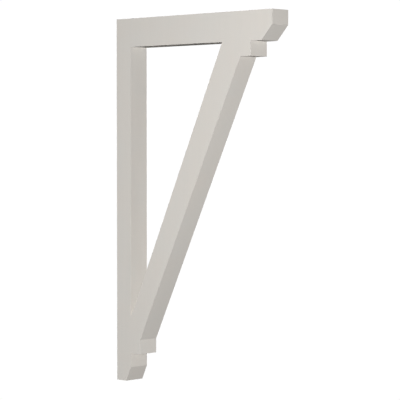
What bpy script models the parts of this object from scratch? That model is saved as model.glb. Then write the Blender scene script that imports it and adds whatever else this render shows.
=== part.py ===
"""Architectural wall bracket: a tall leg, a shorter arm and a tapering diagonal brace, cut as one slab.

Blender 4.5, metres, +Z up. The wall face of the leg lies on x = 0, the arm projects along +X and the
slab's thickness runs along Y. The origin is the middle of the wall face.
"""

import bmesh
import bpy
from mathutils import Vector

# Overall sizes
HEIGHT = 1.219
PROJECTION = 0.6985
THICKNESS = 0.0762

# Leg, which stands against the wall, and its tapered foot
LEG_DEPTH = 0.0667
FOOT_CHAMFER_RISE = 0.0476
FOOT_CHAMFER_RUN = 0.0222

# Small square block on the front of the leg, where the brace lands
LEG_BLOCK_PROJECTION = 0.0445
LEG_BLOCK_HEIGHT = 0.0476
LEG_BLOCK_ABOVE_FOOT = 0.0953

# Arm, which carries the load, and its bevelled nose
ARM_HEIGHT = 0.0953
NOSE_FACE_HEIGHT = 0.0476
NOSE_CHAMFER_RUN = 0.0445

# Small square block under the arm, where the brace ends
ARM_BLOCK_SETBACK = 0.0889
ARM_BLOCK_DROP = 0.0476
BRACE_SETBACK = 0.0445

# Brace, measured square across it at each end: it narrows towards the leg
BRACE_WIDTH_AT_ARM = 0.0911
BRACE_WIDTH_AT_LEG = 0.0704

# Every arris is eased by this much, as sanding leaves it
ARRIS_EASE = 0.0010
ARRIS_SEGMENTS = 2
SHARP_EDGE_ANGLE = 0.35

# A cutter runs past both faces by this much
CUTTER_OVERRUN = 0.02

# Cellular PVC in its factory off-white
PVC_COLOUR = (0.66, 0.63, 0.585, 1.0)
PVC_ROUGHNESS = 0.55

TOP = HEIGHT / 2
FOOT = -HEIGHT / 2
ARM_UNDERSIDE = TOP - ARM_HEIGHT


def clear_scene():
    """Removes every object of the open scene."""
    for obj in list(bpy.data.objects):
        bpy.data.objects.remove(obj)


def brace_outer_edge():
    """Ends of the brace's outer edge, in the XZ plane: at the block under the arm, then at the leg's block."""
    at_arm = Vector((PROJECTION - ARM_BLOCK_SETBACK - BRACE_SETBACK, ARM_UNDERSIDE - ARM_BLOCK_DROP))
    at_leg = Vector((LEG_DEPTH + LEG_BLOCK_PROJECTION, FOOT + LEG_BLOCK_ABOVE_FOOT + LEG_BLOCK_HEIGHT))
    return at_arm, at_leg


def brace_inner_edge():
    """Ends of the brace's inner edge: on the arm's underside, then on the front of the leg."""
    at_arm, at_leg = brace_outer_edge()
    along = (at_arm - at_leg).normalized()
    inward = Vector((-along.y, along.x))
    upper = at_arm + inward * BRACE_WIDTH_AT_ARM
    lower = at_leg + inward * BRACE_WIDTH_AT_LEG
    run_per_rise = (upper.x - lower.x) / (upper.y - lower.y)
    on_arm = Vector((lower.x + (ARM_UNDERSIDE - lower.y) * run_per_rise, ARM_UNDERSIDE))
    on_leg = Vector((LEG_DEPTH, lower.y + (LEG_DEPTH - lower.x) / run_per_rise))
    return on_arm, on_leg


def slab_outline():
    """Outer outline as (x, z) points, from the top corner at the wall down the wall and round to the nose."""
    brace_at_arm, brace_at_leg = brace_outer_edge()
    block_face = PROJECTION - ARM_BLOCK_SETBACK
    block_underside = LEG_BLOCK_ABOVE_FOOT + FOOT
    return [
        (0.0, TOP),
        (0.0, FOOT),
        (LEG_DEPTH - FOOT_CHAMFER_RUN, FOOT),
        (LEG_DEPTH, FOOT + FOOT_CHAMFER_RISE),
        (LEG_DEPTH, block_underside),
        (LEG_DEPTH + LEG_BLOCK_PROJECTION, block_underside),
        tuple(brace_at_leg),
        tuple(brace_at_arm),
        (block_face, brace_at_arm.y),
        (block_face, ARM_UNDERSIDE),
        (PROJECTION - NOSE_CHAMFER_RUN, ARM_UNDERSIDE),
        (PROJECTION, TOP - NOSE_FACE_HEIGHT),
        (PROJECTION, TOP),
    ]


def opening_outline():
    """The three corners of the opening between leg, arm and brace, as (x, z) points."""
    on_arm, on_leg = brace_inner_edge()
    return [(LEG_DEPTH, ARM_UNDERSIDE), tuple(on_leg), tuple(on_arm)]


def slab_from_outline(name, outline, thickness):
    """A slab with that outline, centred on y = 0."""
    shape = bmesh.new()
    corners = [shape.verts.new((x, -thickness / 2, z)) for x, z in outline]
    face = shape.faces.new(corners)
    grown = bmesh.ops.extrude_face_region(shape, geom=[face])
    far_side = [item for item in grown["geom"] if isinstance(item, bmesh.types.BMVert)]
    bmesh.ops.translate(shape, verts=far_side, vec=(0.0, thickness, 0.0))
    bmesh.ops.recalc_face_normals(shape, faces=shape.faces)
    mesh = bpy.data.meshes.new(name)
    shape.to_mesh(mesh)
    shape.free()
    obj = bpy.data.objects.new(name, mesh)
    bpy.context.scene.collection.objects.link(obj)
    return obj


def pvc_material():
    """Smooth cellular PVC, matt and slightly warm."""
    material = bpy.data.materials.new("cellular_pvc")
    material.use_nodes = True
    shader = material.node_tree.nodes["Principled BSDF"]
    shader.inputs["Base Color"].default_value = PVC_COLOUR
    shader.inputs["Roughness"].default_value = PVC_ROUGHNESS
    shader.inputs["Metallic"].default_value = 0.0
    return material


def cut_opening(bracket):
    """Cuts the three-cornered opening right through the slab."""
    cutter = slab_from_outline("opening_cutter", opening_outline(), THICKNESS + 2 * CUTTER_OVERRUN)
    cutter.hide_render = True
    cutter.display_type = "WIRE"
    cut = bracket.modifiers.new("opening", "BOOLEAN")
    cut.operation = "DIFFERENCE"
    cut.solver = "EXACT"
    cut.object = cutter


def ease_arrises(bracket):
    """Takes the sharpness off every arris."""
    ease = bracket.modifiers.new("eased_arrises", "BEVEL")
    ease.width = ARRIS_EASE
    ease.segments = ARRIS_SEGMENTS
    ease.limit_method = "ANGLE"
    ease.angle_limit = SHARP_EDGE_ANGLE


def build_bracket():
    """The whole bracket, which is one solid piece."""
    bracket = slab_from_outline("bracket", slab_outline(), THICKNESS)
    bracket.data.materials.append(pvc_material())
    cut_opening(bracket)
    ease_arrises(bracket)
    return bracket


def main():
    """Builds the bracket in an empty scene."""
    clear_scene()
    build_bracket()


if __name__ == "__main__":
    main()
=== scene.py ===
"""Architectural wall bracket in cellular PVC: its finished form and surfaces, a plain studio and the view.

Blender 4.5, metres, +Z up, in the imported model's own frame: the wall face of the leg lies on x = 0, the arm
projects along +X and the slab's thickness runs along Y. The origin is the middle of the wall face.
"""

import logging
import math
from collections.abc import Callable, Iterator, Mapping
from contextlib import contextmanager
from dataclasses import dataclass
from enum import Enum, IntEnum

import bmesh
import bpy
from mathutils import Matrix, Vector


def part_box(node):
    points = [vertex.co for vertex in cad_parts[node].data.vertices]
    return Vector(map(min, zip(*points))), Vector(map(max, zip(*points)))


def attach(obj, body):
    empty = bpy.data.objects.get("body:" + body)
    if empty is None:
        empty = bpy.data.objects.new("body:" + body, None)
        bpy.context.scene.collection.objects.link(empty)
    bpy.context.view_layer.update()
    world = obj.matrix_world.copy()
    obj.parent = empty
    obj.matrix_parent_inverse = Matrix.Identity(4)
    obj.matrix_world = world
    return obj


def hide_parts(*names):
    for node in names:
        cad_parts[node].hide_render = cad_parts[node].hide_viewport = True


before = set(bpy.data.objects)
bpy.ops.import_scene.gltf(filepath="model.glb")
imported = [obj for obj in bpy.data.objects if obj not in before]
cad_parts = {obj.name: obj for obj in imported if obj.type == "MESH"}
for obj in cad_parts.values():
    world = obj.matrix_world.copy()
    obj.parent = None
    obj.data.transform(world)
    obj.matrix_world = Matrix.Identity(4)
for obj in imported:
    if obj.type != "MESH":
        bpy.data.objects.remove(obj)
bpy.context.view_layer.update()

CAD_NODE = "bracket"
BODY = "root"
MM = 0.001

# Two directions this close, as a cosine, count as the same
SAME_DIRECTION = 0.9999
# Two places this close count as the same
SAME_PLACE = 0.02 * MM

log = logging.getLogger("bracket")

# What can feed a socket: a node, for its first output, or a node and the identifier of one output
Source = bpy.types.Node | tuple[bpy.types.Node, str]


class Axis(IntEnum):
    """The three directions of the frame, as the index of a coordinate."""

    OUT_FROM_WALL = 0
    THROUGH_BOARD = 1
    UP = 2

    def unit(self) -> Vector:
        """The direction as a vector of length one."""
        return Vector([float(axis is self) for axis in Axis])


class SelectMode(Enum):
    """What a click would pick in edit mode."""

    EDGE = "EDGE"
    FACE = "FACE"


class Surface(IntEnum):
    """The three kinds of surface on the bracket, as the index of a material slot."""

    BROAD_FACE = 0
    CUT_EDGE = 1
    ARRIS = 2


OUT = Axis.OUT_FROM_WALL.unit()
ACROSS = Axis.THROUGH_BOARD.unit()
UP = Axis.UP.unit()


def linear(hex_colour: str) -> tuple[float, float, float, float]:
    """Turns an sRGB colour into the linear one that a shader reads.

    Args:
        hex_colour: The colour as #RRGGBB.

    Returns:
        Linear red, green and blue, and an alpha of one.
    """
    channels = [int(hex_colour[start:start + 2], 16) / 255 for start in (1, 3, 5)]
    red, green, blue = (
        channel / 12.92 if channel <= 0.04045 else ((channel + 0.055) / 1.055) ** 2.4 for channel in channels
    )
    return red, green, blue, 1.0


def per_metre(size_mm: float) -> float:
    """How often a pattern of that size repeats in a metre: a texture's scale on metre coordinates."""
    return 1.0 / (size_mm * MM)


def output_of(source: Source) -> bpy.types.NodeSocket:
    """Finds the output that a source stands for.

    Args:
        source: A node, for its first output in use, or a node and an output's identifier.

    Returns:
        The output socket.
    """
    node, identifier = source if isinstance(source, tuple) else (source, None)
    in_use = [socket for socket in node.outputs if socket.enabled]
    return next(socket for socket in in_use if identifier in (None, socket.identifier))


def add_node(
    tree: bpy.types.NodeTree,
    kind: str,
    settings: Mapping[str, object] | None = None,
    values: Mapping[str, object] | None = None,
    links: Mapping[str, Source] | None = None,
) -> bpy.types.Node:
    """Adds one node to a tree, with its settings, its constant inputs and its links.

    Args:
        tree: The material's or world's node tree.
        kind: Blender's name for the type of node.
        settings: Properties of the node itself.
        values: Constants, by the identifier of the input that takes each.
        links: What feeds the other inputs, by the identifier of each.

    Returns:
        The new node.
    """
    node = tree.nodes.new(kind)
    for name, value in (settings or {}).items():
        setattr(node, name, value)
    inputs = {socket.identifier: socket for socket in node.inputs}
    for name, value in (values or {}).items():
        inputs[name].default_value = value
    for name, source in (links or {}).items():
        tree.links.new(output_of(source), inputs[name])
    return node


@contextmanager
def editing(piece: bpy.types.Object) -> Iterator[None]:
    """Opens one object in edit mode with nothing selected, and closes it afterwards.

    Args:
        piece: The mesh object to shape.

    Yields:
        Nothing: the mesh is open while the block runs.
    """
    select_only(piece)
    bpy.ops.object.mode_set(mode="EDIT")
    bpy.ops.mesh.select_all(action="DESELECT")
    yield
    bpy.ops.object.mode_set(mode="OBJECT")


def select_only(piece: bpy.types.Object) -> None:
    """Selects one object and nothing else, and makes it the active one."""
    bpy.ops.object.select_all(action="DESELECT")
    bpy.context.view_layer.objects.active = piece
    piece.select_set(True)


def select_where(piece: bpy.types.Object, mode: SelectMode, wanted: Callable[..., bool]) -> None:
    """Selects the faces or edges of the open mesh that pass a test, and nothing else.

    Args:
        piece: The object that is open in edit mode.
        mode: Whether the test picks faces or edges.
        wanted: The test, given one bmesh face or edge.
    """
    bpy.ops.mesh.select_mode(type=mode.value)
    bpy.ops.mesh.select_all(action="DESELECT")
    shape = bmesh.from_edit_mesh(piece.data)
    candidates = shape.faces if mode is SelectMode.FACE else shape.edges
    for item in filter(wanted, candidates):
        item.select_set(True)
    bmesh.update_edit_mesh(piece.data)


def faces_towards(
    direction: Vector, along: Axis, low: float, high: float
) -> Callable[[bmesh.types.BMFace], bool]:
    """A test for the faces that look one way, with their centre between two places.

    Args:
        direction: The way that the face looks, as a unit vector.
        along: The coordinate that the two places are measured on.
        low: The lower place.
        high: The higher place.

    Returns:
        The test, for select_where.
    """

    def test(face: bmesh.types.BMFace) -> bool:
        """Whether a face looks that way and has its centre between the two places."""
        return face.normal.dot(direction) > SAME_DIRECTION and low < face.calc_center_median()[along] < high

    return test


def edge_across_at(place: Vector) -> Callable[[bmesh.types.BMEdge], bool]:
    """A test for the edge that crosses the board at one place of the side view.

    Args:
        place: A point of that edge. Its Y is not read.

    Returns:
        The test, for select_where.
    """

    def test(edge: bmesh.types.BMEdge) -> bool:
        """Whether both ends of an edge lie at that place of the side view."""
        ends = [vertex.co - place for vertex in edge.verts]
        return all(math.hypot(end.x, end.z) < SAME_PLACE for end in ends)

    return test


def cut_through(at: Vector, facing: Vector, drop_outer: bool = False) -> None:
    """Cuts what is selected with a plane.

    Args:
        at: A point of the plane.
        facing: The plane's normal.
        drop_outer: Whether what lies on the normal's side is cut off and the cut closed.
    """
    bpy.ops.mesh.bisect(plane_co=at, plane_no=facing, use_fill=drop_outer, clear_outer=drop_outer)


def extrude(by: Vector) -> None:
    """Extrudes the selected faces by a vector."""
    bpy.ops.mesh.extrude_region_move(TRANSFORM_OT_translate={"value": by})


@dataclass(frozen=True)
class BodyColour:
    """Cellular PVC is coloured right through, so board face, cut edge and arris drift in tone together.

    The eye gets one warm off-white that is never quite even from one hand's breadth to the next.
    """

    cooler: str = "#D4D2CD"
    warmer: str = "#D8D1C9"
    cloud_mm: float = 120.0
    cloud_detail: float = 2.0

    def drift(self, tree: bpy.types.NodeTree, place: Source) -> bpy.types.Node:
        """Adds the clouds of tone.

        Args:
            tree: The material's node tree.
            place: Object coordinates.

        Returns:
            The node that gives the colour.
        """
        clouds = add_node(
            tree, "ShaderNodeTexNoise",
            values={"Scale": per_metre(self.cloud_mm), "Detail": self.cloud_detail}, links={"Vector": place},
        )
        return add_node(
            tree, "ShaderNodeMix", settings={"data_type": "RGBA"},
            values={"A_Color": linear(self.cooler), "B_Color": linear(self.warmer)},
            links={"Factor_Float": clouds},
        )


@dataclass(frozen=True)
class Finish:
    """What the bracket's finishes share: the body colour, and a shader that the finish's own nodes feed."""

    name: str
    roughness: tuple[float, float]
    body: BodyColour = BodyColour()
    # Refractive index of PVC
    ior: float = 1.53

    def dress(self, tree: bpy.types.NodeTree, place: Source) -> dict[str, Source]:
        """Adds the finish's own nodes.

        Args:
            tree: The material's node tree.
            place: Object coordinates.

        Returns:
            What feeds the shader, by the identifier of each input.
        """
        raise NotImplementedError

    def gloss(self, tree: bpy.types.NodeTree, pattern: Source) -> bpy.types.Node:
        """Adds a roughness that follows a pattern.

        Args:
            tree: The material's node tree.
            pattern: The pattern, from zero to one.

        Returns:
            The node that gives the roughness.
        """
        low, high = self.roughness
        return add_node(
            tree, "ShaderNodeMapRange", values={"To Min": low, "To Max": high}, links={"Value": pattern}
        )

    def material(self) -> bpy.types.Material:
        """Builds the finish.

        Returns:
            The material.
        """
        material = bpy.data.materials.new(self.name)
        material.use_nodes = True
        tree = material.node_tree
        tree.nodes.clear()
        place = (add_node(tree, "ShaderNodeTexCoord"), "Object")
        shader = add_node(
            tree, "ShaderNodeBsdfPrincipled", values={"IOR": self.ior}, links=self.dress(tree, place)
        )
        add_node(tree, "ShaderNodeOutputMaterial", links={"Surface": shader})
        return material


@dataclass(frozen=True)
class CalenderedSkin(Finish):
    """Cellular PVC board as it leaves the rolls, with a closed satin skin.

    The eye gets a wide soft sheen, faint streaks that run up the board and a very slight orange peel.
    """

    name: str = "calendered_cellular_pvc"
    roughness: tuple[float, float] = (0.50, 0.60)
    streak_tone: str = "#CECBC5"
    # How far towards that tone a streak can take the colour
    streak_share: float = 0.5
    # The rolls leave streaks a finger wide that run on for a forearm's length, along the leg
    streak_width_mm: float = 14.0
    streak_length_mm: float = 420.0
    streak_height_mm: float = 0.03
    streak_detail: float = 3.0
    # Real orange peel is about 1 mm across, too fine to show here, so it is drawn four times as coarse
    peel_mm: float = 4.0
    peel_height_mm: float = 0.012
    peel_detail: float = 1.0

    def dress(self, tree: bpy.types.NodeTree, place: Source) -> dict[str, Source]:
        """Adds the streaks and the orange peel.

        Args:
            tree: The material's node tree.
            place: Object coordinates.

        Returns:
            Colour, roughness and normal for the shader.
        """
        width, length = per_metre(self.streak_width_mm), per_metre(self.streak_length_mm)
        drawn_out = add_node(
            tree, "ShaderNodeMapping", values={"Scale": (width, width, length)}, links={"Vector": place}
        )
        streaks = add_node(
            tree, "ShaderNodeTexNoise", values={"Scale": 1.0, "Detail": self.streak_detail},
            links={"Vector": drawn_out},
        )
        faint = add_node(
            tree, "ShaderNodeMapRange", values={"To Max": self.streak_share}, links={"Value": streaks}
        )
        tone = add_node(
            tree, "ShaderNodeMix", settings={"data_type": "RGBA"},
            values={"B_Color": linear(self.streak_tone)},
            links={"Factor_Float": faint, "A_Color": self.body.drift(tree, place)},
        )
        peel = add_node(
            tree, "ShaderNodeTexNoise",
            values={"Scale": per_metre(self.peel_mm), "Detail": self.peel_detail}, links={"Vector": place},
        )
        rolled = add_node(
            tree, "ShaderNodeBump", values={"Distance": self.streak_height_mm * MM}, links={"Height": streaks}
        )
        relief = add_node(
            tree, "ShaderNodeBump", values={"Distance": self.peel_height_mm * MM},
            links={"Height": peel, "Normal": rolled},
        )
        return {"Base Color": tone, "Roughness": self.gloss(tree, streaks), "Normal": relief}


@dataclass(frozen=True)
class RoutedEdge(Finish):
    """The board's cut edge, where a router bit has opened the cells.

    The eye gets a slightly drier, warmer surface, faint ripples straight across the edge and fine pores: real
    pits in the bump, with painted shade darkening the colour inside each.
    """

    name: str = "routed_cellular_pvc"
    roughness: tuple[float, float] = (0.60, 0.70)
    # Darker tone painted into the opened cells' pits as shade
    pit_shade_tone: str = "#C8C3BB"
    # How far the painted shade in an open cell can take the colour towards that tone
    pit_shade_share: float = 0.35
    # Cutter marks are 0.5 to 1 mm apart, too fine to show here, so they are drawn 3 mm apart
    ripple_mm: float = 3.0
    ripple_height_mm: float = 0.012
    ripple_detail: float = 0.0
    # Opened cells are 0.1 to 0.3 mm across, too fine to show here, so they are drawn at 1.2 mm
    pore_mm: float = 1.2
    pore_depth_mm: float = 0.02
    pore_detail: float = 1.0
    # A cell shows from the first of these levels of the noise on, and is wide open at the second
    pore_levels: tuple[float, float] = (0.5, 0.8)

    def dress(self, tree: bpy.types.NodeTree, place: Source) -> dict[str, Source]:
        """Adds the cutter's ripples and the opened cells, with painted shade in the cells.

        Args:
            tree: The material's node tree.
            place: Object coordinates.

        Returns:
            Colour, roughness and normal for the shader.
        """
        spacing = per_metre(self.ripple_mm)
        # Flattened through the board's thickness, the pattern runs straight across every cut edge
        straight = add_node(
            tree, "ShaderNodeMapping", values={"Scale": (spacing, 0.0, spacing)}, links={"Vector": place}
        )
        ripples = add_node(
            tree, "ShaderNodeTexNoise", values={"Scale": 1.0, "Detail": self.ripple_detail},
            links={"Vector": straight},
        )
        cells = add_node(
            tree, "ShaderNodeTexNoise",
            values={"Scale": per_metre(self.pore_mm), "Detail": self.pore_detail}, links={"Vector": place},
        )
        showing, wide_open = self.pore_levels
        open_cells = add_node(
            tree, "ShaderNodeMapRange",
            values={"From Min": showing, "From Max": wide_open, "To Max": self.pit_shade_share},
            links={"Value": cells},
        )
        # Painted shade: the colour darkens where the open cells' pits lie
        tone = add_node(
            tree, "ShaderNodeMix", settings={"data_type": "RGBA"}, values={"B_Color": linear(self.pit_shade_tone)},
            links={"Factor_Float": open_cells, "A_Color": self.body.drift(tree, place)},
        )
        rippled = add_node(
            tree, "ShaderNodeBump", values={"Distance": self.ripple_height_mm * MM}, links={"Height": ripples}
        )
        pitted = add_node(
            tree, "ShaderNodeBump", settings={"invert": True}, values={"Distance": self.pore_depth_mm * MM},
            links={"Height": open_cells, "Normal": rippled},
        )
        return {"Base Color": tone, "Roughness": self.gloss(tree, ripples), "Normal": pitted}


@dataclass(frozen=True)
class SandedArris(Finish):
    """The eased arris, rubbed over with fine paper.

    The eye gets a thin line a little smoother than the cut edge, with scratches too fine to tell apart.
    """

    name: str = "sanded_cellular_pvc"
    roughness: tuple[float, float] = (0.52, 0.62)
    # Scratches of 180 grit are under 0.1 mm wide, too fine to show here, so they are drawn at 0.8 mm
    scratch_mm: float = 0.8
    scratch_depth_mm: float = 0.006
    scratch_detail: float = 0.0

    def dress(self, tree: bpy.types.NodeTree, place: Source) -> dict[str, Source]:
        """Adds the scratches.

        Args:
            tree: The material's node tree.
            place: Object coordinates.

        Returns:
            Colour, roughness and normal for the shader.
        """
        scratches = add_node(
            tree, "ShaderNodeTexNoise",
            values={"Scale": per_metre(self.scratch_mm), "Detail": self.scratch_detail},
            links={"Vector": place},
        )
        rubbed = add_node(
            tree, "ShaderNodeBump", values={"Distance": self.scratch_depth_mm * MM},
            links={"Height": scratches},
        )
        tone = self.body.drift(tree, place)
        return {"Base Color": tone, "Roughness": self.gloss(tree, scratches), "Normal": rubbed}


@dataclass(frozen=True)
class Envelope:
    """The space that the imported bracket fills, which the finished one has to fill too."""

    low: Vector
    high: Vector

    @property
    def thickness(self) -> float:
        """Thickness of the board."""
        return self.high.y - self.low.y

    @property
    def middle(self) -> Vector:
        """Middle of the space."""
        return (self.low + self.high) / 2


@dataclass
class Leg:
    """The upright against the wall, with its tapered foot and the block that the brace lands on."""

    envelope: Envelope
    depth: float = 0.0667
    foot_rise: float = 0.0476
    foot_run: float = 0.0222
    block_projection: float = 0.0445
    block_height: float = 0.0476
    block_above_foot: float = 0.0953

    @property
    def block_underside(self) -> float:
        """Height of the block's underside."""
        return self.envelope.low.z + self.block_above_foot

    @property
    def block_corner(self) -> Vector:
        """The block's upper front corner, in the side view."""
        return Vector((self.depth + self.block_projection, 0.0, self.block_underside + self.block_height))

    def rough_out(self) -> bpy.types.Object:
        """Cuts the upright to length and tapers its foot.

        Returns:
            The object that the other members grow from.
        """
        low, high = self.envelope.low, self.envelope.high
        centre = self.envelope.middle
        centre.x = low.x + self.depth / 2
        bpy.ops.object.select_all(action="DESELECT")
        bpy.ops.mesh.primitive_cube_add(
            size=1.0, location=centre, scale=(self.depth, self.envelope.thickness, high.z - low.z)
        )
        piece = bpy.context.active_object
        bpy.ops.object.transform_apply(location=True, rotation=True, scale=True)
        heel = Vector((self.depth - self.foot_run, 0.0, low.z))
        with editing(piece):
            bpy.ops.mesh.select_all(action="SELECT")
            cut_through(heel, Vector((self.foot_rise, 0.0, -self.foot_run)).normalized(), drop_outer=True)
        return piece

    def grow_block(self, piece: bpy.types.Object, landing_top: Vector) -> None:
        """Draws the block out of the leg's front, with its top sloped as the brace's landing.

        Args:
            piece: The object to shape.
            landing_top: Where the brace's inner edge meets the leg, in the side view.
        """
        front = faces_towards(OUT, Axis.UP, self.block_underside, landing_top.z)
        top_edge = landing_top + OUT * self.block_projection
        with editing(piece):
            for height in (self.block_underside, landing_top.z):
                bpy.ops.mesh.select_all(action="SELECT")
                cut_through(UP * height, UP)
            select_where(piece, SelectMode.FACE, front)
            extrude(OUT * self.block_projection)
            select_where(piece, SelectMode.EDGE, edge_across_at(top_edge))
            bpy.ops.transform.translate(value=self.block_corner - top_edge)


@dataclass
class Arm:
    """The bearer on top, with its bevelled nose and the small block under it where the brace ends."""

    envelope: Envelope
    height: float = 0.0953
    nose_face_height: float = 0.0476
    nose_chamfer_run: float = 0.0445
    block_setback: float = 0.0889
    block_drop: float = 0.0476
    brace_setback: float = 0.0445

    @property
    def underside(self) -> float:
        """Height of the arm's underside."""
        return self.envelope.high.z - self.height

    @property
    def nose(self) -> float:
        """How far out the nose stands."""
        return self.envelope.high.x

    @property
    def block_face(self) -> float:
        """How far out the block's front face stands."""
        return self.nose - self.block_setback

    @property
    def brace_corner(self) -> Vector:
        """Where the brace's outer edge leaves the block, in the side view."""
        return Vector((self.block_face - self.brace_setback, 0.0, self.underside - self.block_drop))

    def reach_out(self, piece: bpy.types.Object, leg: Leg, landing_inner: Vector) -> None:
        """Draws the arm out of the leg's head, stage by stage, and bevels its nose.

        Args:
            piece: The object to shape.
            leg: The upright that the arm leaves.
            landing_inner: Where the brace's inner edge meets the arm, in the side view.
        """
        head = faces_towards(OUT, Axis.UP, self.underside, self.envelope.high.z)
        stations = (leg.depth, landing_inner.x, self.block_face, self.nose)
        bevel_start = Vector((self.nose - self.nose_chamfer_run, 0.0, self.underside))
        bevel_rise = self.height - self.nose_face_height
        facing = Vector((bevel_rise, 0.0, -self.nose_chamfer_run)).normalized()

        def is_past_block(face: bmesh.types.BMFace) -> bool:
            """Whether a face lies beyond the block's front, out towards the nose."""
            return face.calc_center_median().x > self.block_face + SAME_PLACE

        with editing(piece):
            bpy.ops.mesh.select_all(action="SELECT")
            cut_through(UP * self.underside, UP)
            select_where(piece, SelectMode.FACE, head)
            for start, end in zip(stations, stations[1:]):
                extrude(OUT * (end - start))
            select_where(piece, SelectMode.FACE, is_past_block)
            cut_through(bevel_start, facing, drop_outer=True)

    def drop_block(self, piece: bpy.types.Object, landing_inner: Vector) -> None:
        """Draws the block down from the arm, with its wall side sloped as the brace's landing.

        Args:
            piece: The object to shape.
            landing_inner: Where the brace's inner edge meets the arm, in the side view.
        """
        underside = faces_towards(-UP, Axis.OUT_FROM_WALL, landing_inner.x, self.block_face)
        wall_edge = landing_inner - UP * self.block_drop
        with editing(piece):
            select_where(piece, SelectMode.FACE, underside)
            extrude(-UP * self.block_drop)
            select_where(piece, SelectMode.EDGE, edge_across_at(wall_edge))
            bpy.ops.transform.translate(value=self.brace_corner - wall_edge)


@dataclass
class Brace:
    """The diagonal between the two blocks, which narrows towards the leg."""

    leg: Leg
    arm: Arm
    width_at_arm: float = 0.0911
    width_at_leg: float = 0.0704

    @property
    def inner_line(self) -> tuple[Vector, Vector]:
        """Two points on the inner edge's line, square across from the outer edge's lower and upper end."""
        at_leg, at_arm = self.leg.block_corner, self.arm.brace_corner
        along = (at_arm - at_leg).normalized()
        inward = Vector((-along.z, 0.0, along.x))
        return at_leg + inward * self.width_at_leg, at_arm + inward * self.width_at_arm

    @property
    def inner_at_arm(self) -> Vector:
        """Where the inner edge meets the arm's underside, in the side view."""
        lower, upper = self.inner_line
        return lower + (upper - lower) * ((self.arm.underside - lower.z) / (upper.z - lower.z))

    @property
    def inner_at_leg(self) -> Vector:
        """Where the inner edge meets the leg's front, in the side view."""
        lower, upper = self.inner_line
        return lower + (upper - lower) * ((self.leg.depth - lower.x) / (upper.x - lower.x))

    def bridge(self, piece: bpy.types.Object) -> None:
        """Joins the two sloped landings with the diagonal.

        Args:
            piece: The object to shape.
        """
        at_arm = (self.inner_at_arm + self.arm.brace_corner) / 2
        at_leg = (self.inner_at_leg + self.leg.block_corner) / 2

        def is_landing(face: bmesh.types.BMFace) -> bool:
            """Whether a face is one of the two sloped landings."""
            centre = face.calc_center_median()
            return min((centre - at_arm).length, (centre - at_leg).length) < SAME_PLACE

        with editing(piece):
            select_where(piece, SelectMode.FACE, is_landing)
            bpy.ops.mesh.bridge_edge_loops()


@dataclass
class Bracket:
    """The whole bracket, cut as one slab: leg, arm and brace are members of a single solid piece."""

    envelope: Envelope
    # Barely rubbed: a wider rounding catches the key and draws a pale line along every edge
    arris_radius: float = 0.2 * MM
    arris_steps: int = 4
    # Edges that turn by less than this lie within a flat face and stay as they are
    least_turn: float = math.radians(15)
    name: str = "pvc_bracket"

    def model(self) -> bpy.types.Object:
        """Models the three members as one mesh.

        Returns:
            The bracket, with sharp arrises.
        """
        leg = Leg(self.envelope)
        arm = Arm(self.envelope)
        brace = Brace(leg, arm)
        piece = leg.rough_out()
        piece.name = piece.data.name = self.name
        leg.grow_block(piece, brace.inner_at_leg)
        arm.reach_out(piece, leg, brace.inner_at_arm)
        arm.drop_block(piece, brace.inner_at_arm)
        brace.bridge(piece)
        with editing(piece):
            bpy.ops.mesh.select_all(action="SELECT")
            bpy.ops.mesh.remove_doubles(threshold=SAME_PLACE)
            bpy.ops.mesh.normals_make_consistent(inside=False)
        return piece

    def dress(self, piece: bpy.types.Object) -> None:
        """Gives each face its finish.

        Args:
            piece: The bracket.
        """
        finishes = {
            Surface.BROAD_FACE: CalenderedSkin(),
            Surface.CUT_EDGE: RoutedEdge(),
            Surface.ARRIS: SandedArris(),
        }
        for surface in Surface:
            piece.data.materials.append(finishes[surface].material())
        for face in piece.data.polygons:
            is_broad = abs(face.normal.dot(ACROSS)) > SAME_DIRECTION
            face.material_index = Surface.BROAD_FACE if is_broad else Surface.CUT_EDGE

    def ease_arrises(self, piece: bpy.types.Object) -> None:
        """Rounds every arris a little, as sanding leaves it, and shades the rounding smooth.

        Args:
            piece: The bracket.
        """
        select_only(piece)
        bpy.ops.object.shade_smooth()
        ease = piece.modifiers.new("eased_arrises", "BEVEL")
        ease.width = self.arris_radius
        ease.segments = self.arris_steps
        ease.limit_method = "ANGLE"
        ease.angle_limit = self.least_turn
        ease.material = Surface.ARRIS
        ease.harden_normals = True
        bpy.ops.object.modifier_apply(modifier=ease.name)

    def build(self) -> bpy.types.Object:
        """Models, dresses and finishes the bracket.

        Returns:
            The finished piece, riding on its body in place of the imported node.
        """
        piece = self.model()
        self.dress(piece)
        self.ease_arrises(piece)
        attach(piece, BODY)
        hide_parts(CAD_NODE)
        return piece


def away_from_bracket(azimuth: float, elevation: float) -> Vector:
    """The direction from the bracket to something that stands round it.

    Args:
        azimuth: Degrees round the bracket: 0 is off the near broad face, 90 is off the nose.
        elevation: Degrees above the horizon.

    Returns:
        The direction, as a unit vector.
    """
    turn, rise = math.radians(azimuth), math.radians(elevation)
    return Vector((math.sin(turn) * math.cos(rise), -math.cos(turn) * math.cos(rise), math.sin(rise)))


def stand_off(
    thing: bpy.types.Object, aim: Vector, azimuth: float, elevation: float, distance: float
) -> None:
    """Stands a camera or light round the bracket and turns it to look at a point.

    Args:
        thing: The camera or light.
        aim: The point that it looks at.
        azimuth: Degrees round the bracket.
        elevation: Degrees above the horizon.
        distance: Metres from the point.
    """
    back = away_from_bracket(azimuth, elevation)
    thing.location = aim + back * distance
    thing.rotation_euler = (-back).to_track_quat("-Z", "Y").to_euler()
    bpy.context.scene.collection.objects.link(thing)


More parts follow.
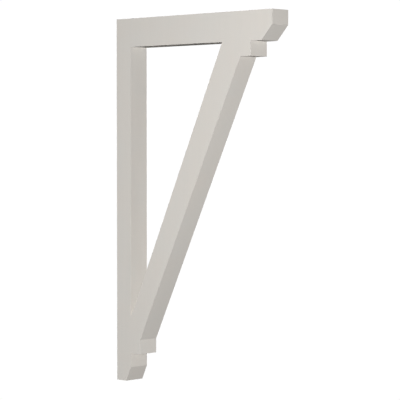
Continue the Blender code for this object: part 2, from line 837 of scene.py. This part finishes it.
@dataclass(frozen=True)
class Viewpoint:
    """The camera, where the photograph was taken from: a long lens a little above the bracket's middle."""

    aim: tuple[float, float, float] = (0.3511, 0.0021, 0.0079)
    azimuth: float = 43.82
    elevation: float = 2.003
    distance: float = 5.601
    lens_mm: float = 154.67
    sensor_mm: float = 36.0

    def set_up(self) -> bpy.types.Object:
        """Makes the camera and gives it to the scene.

        Returns:
            The camera.
        """
        data = bpy.data.cameras.new("camera")
        data.sensor_width = self.sensor_mm
        data.lens = self.lens_mm
        camera = bpy.data.objects.new("camera", data)
        stand_off(camera, Vector(self.aim), self.azimuth, self.elevation, self.distance)
        bpy.context.scene.camera = camera
        return camera


@dataclass(frozen=True)
class SoftPanel:
    """An oblong soft light that looks at the bracket's middle, and that the camera doesn't see."""

    name: str
    azimuth: float
    elevation: float
    distance: float
    width: float
    height: float
    watts: float

    def hang(self, aim: Vector) -> bpy.types.Object:
        """Puts the light in place.

        Args:
            aim: The point that it looks at.

        Returns:
            The light.
        """
        data = bpy.data.lights.new(self.name, "AREA")
        data.shape = "RECTANGLE"
        data.size = self.width
        data.size_y = self.height
        data.energy = self.watts
        light = bpy.data.objects.new(self.name, data)
        stand_off(light, aim, self.azimuth, self.elevation, self.distance)
        light.visible_camera = False
        return light


@dataclass(frozen=True)
class Studio:
    """The plain pale floor, the white room and the soft lights."""

    aim: Vector
    white: str = "#FFFFFF"
    no_reflection: str = "#000000"
    # A hair over white, so that floor and room both come out evenly white
    glow: float = 1.02
    # The bracket hangs on a wall that isn't shown, so the floor lies well below its foot
    floor_height: float = -1.6
    floor_radius: float = 60.0
    floor_sides: int = 128
    floor_thickness: float = 0.01
    sheet_roughness: float = 0.7
    # Refractive index of acrylic
    sheet_ior: float = 1.49
    panels: tuple[SoftPanel, ...] = (
        # Each has its name, azimuth, elevation, distance, width, height and watts.
        # The key stands just left of the camera and level with it, so its shadows fall where the camera
        # can't see them.
        SoftPanel("key_panel", 37.4, 1.0, 5.5, 1.1, 0.6, 362.0),
        SoftPanel("low_nose_panel", 100.0, -20.0, 1.6, 1.0, 0.5, 3.8),
        # The rest light the sides that the photograph doesn't show, and hardly touch those that it does.
        SoftPanel("back_panel", 185.0, 5.0, 8.0, 1.6, 1.6, 370.0),
        SoftPanel("opening_panel", 235.0, 8.0, 8.0, 1.6, 1.6, 110.0),
        SoftPanel("wall_side_panel", 270.0, 0.0, 8.0, 1.0, 1.6, 390.0),
        SoftPanel("top_panel", 270.0, 78.0, 8.0, 1.6, 1.6, 380.0),
    )

    def floor_material(self) -> bpy.types.Material:
        """Opal acrylic sheet, lit from beneath: an even white that shows no shadow.

        Returns:
            The material.
        """
        material = bpy.data.materials.new("backlit_opal_acrylic")
        material.use_nodes = True
        tree = material.node_tree
        tree.nodes.clear()
        # The glow from beneath drowns what the sheet reflects. With it, the floor would come out brighter
        # than white and eat into the bracket's edges
        values = {
            "Base Color": linear(self.no_reflection), "Specular IOR Level": 0.0,
            "Roughness": self.sheet_roughness, "IOR": self.sheet_ior,
            "Emission Color": linear(self.white), "Emission Strength": self.glow,
        }
        shader = add_node(tree, "ShaderNodeBsdfPrincipled", values=values)
        add_node(tree, "ShaderNodeOutputMaterial", links={"Surface": shader})
        return material

    def lay_floor(self) -> bpy.types.Object:
        """Lays the floor.

        Returns:
            The floor.
        """
        bpy.ops.object.select_all(action="DESELECT")
        bpy.ops.mesh.primitive_circle_add(
            vertices=self.floor_sides, radius=self.floor_radius, fill_type="NGON",
            location=UP * self.floor_height,
        )
        floor = bpy.context.active_object
        floor.name = floor.data.name = "studio_floor"
        with editing(floor):
            bpy.ops.mesh.select_all(action="SELECT")
            extrude(-UP * self.floor_thickness)
            bpy.ops.mesh.select_all(action="SELECT")
            bpy.ops.mesh.normals_make_consistent(inside=False)
        floor.data.materials.append(self.floor_material())
        # The panels alone light the bracket, so the bright sheet throws nothing back at it
        floor.visible_diffuse = False
        floor.visible_glossy = False
        return floor

    def surround(self) -> bpy.types.World:
        """Makes the white room, which only the camera sees: the panels alone light the bracket.

        Returns:
            The world.
        """
        world = bpy.data.worlds.new("white_room")
        world.use_nodes = True
        tree = world.node_tree
        tree.nodes.clear()
        seen = (add_node(tree, "ShaderNodeLightPath"), "Is Camera Ray")
        strength = add_node(tree, "ShaderNodeMapRange", values={"To Max": self.glow}, links={"Value": seen})
        room = add_node(
            tree, "ShaderNodeBackground", values={"Color": linear(self.white)}, links={"Strength": strength}
        )
        add_node(tree, "ShaderNodeOutputWorld", links={"Surface": room})
        bpy.context.scene.world = world
        return world

    def build(self) -> list[bpy.types.Object]:
        """Builds the studio round the bracket.

        Returns:
            The floor and the lights.
        """
        self.surround()
        # Colours come out as they are given, with no film-like curve over them
        settings = bpy.context.scene.view_settings
        settings.view_transform = "Standard"
        settings.look = "None"
        return [self.lay_floor(), *(panel.hang(self.aim) for panel in self.panels)]


def report(thing: bpy.types.Object) -> None:
    """Logs what one object is and where it stands or how big it is."""
    if thing.type == "MESH":
        size = " x ".join(f"{side / MM:.1f}" for side in thing.dimensions)
        log.info("%s: %s mm, %d faces", thing.name, size, len(thing.data.polygons))
    else:
        log.info("%s: %s at (%.3f, %.3f, %.3f)", thing.name, thing.type.lower(), *thing.location)


def main() -> None:
    """Builds the view, the bracket and the studio round it."""
    logging.basicConfig(level=logging.INFO, format="%(name)s: %(message)s")
    envelope = Envelope(*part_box(CAD_NODE))
    report(Viewpoint().set_up())
    report(Bracket(envelope).build())
    for thing in Studio(envelope.middle).build():
        report(thing)


if __name__ == "__main__":
    main()
